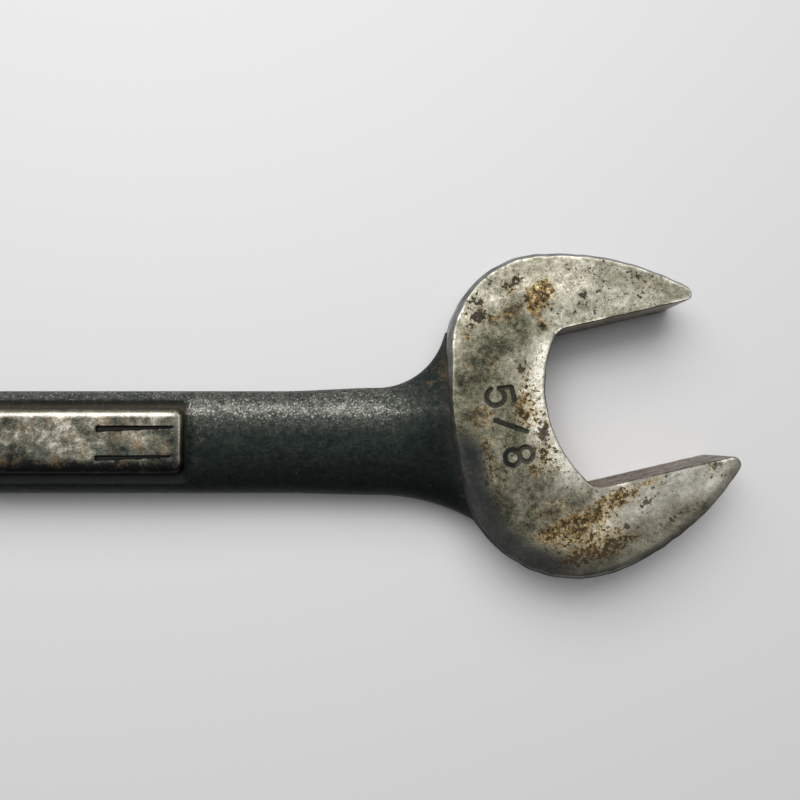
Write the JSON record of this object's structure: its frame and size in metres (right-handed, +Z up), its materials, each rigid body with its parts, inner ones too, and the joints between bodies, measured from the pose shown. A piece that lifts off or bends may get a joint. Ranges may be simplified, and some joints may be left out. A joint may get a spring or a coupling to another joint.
{
  "type": "combination wrench",
  "caption": "Combination wrench for a 5/8 inch hexagon: a slanted open end and a tilted twelve-point box end on a flat forged shank with raised panels.",
  "frame": {"origin": "middle of the bounding box in plan, on the surface the wrench lies on", "axes": "+X along the shank towards the open end, +Y across it towards the jaws' high side, +Z up out of the face that lies uppermost"},
  "size_m": [0.1985, 0.0324, 0.0149],
  "materials": {
    "ground_steel": "ground and tarnished",
    "forged_steel": "rough forged scale, oiled",
    "panel_steel": "ground, stained"
  },
  "bodies": {
    "root": {"upper_jaw": "ground_steel", "lower_jaw": "ground_steel", "throat": "ground_steel", "open_end_neck": "forged_steel", "shank": "forged_steel", "front_panel": "panel_steel", "back_panel": "panel_steel", "box_end_neck": "forged_steel", "box_end_ring": "ground_steel"}
  },
  "joints": []
}
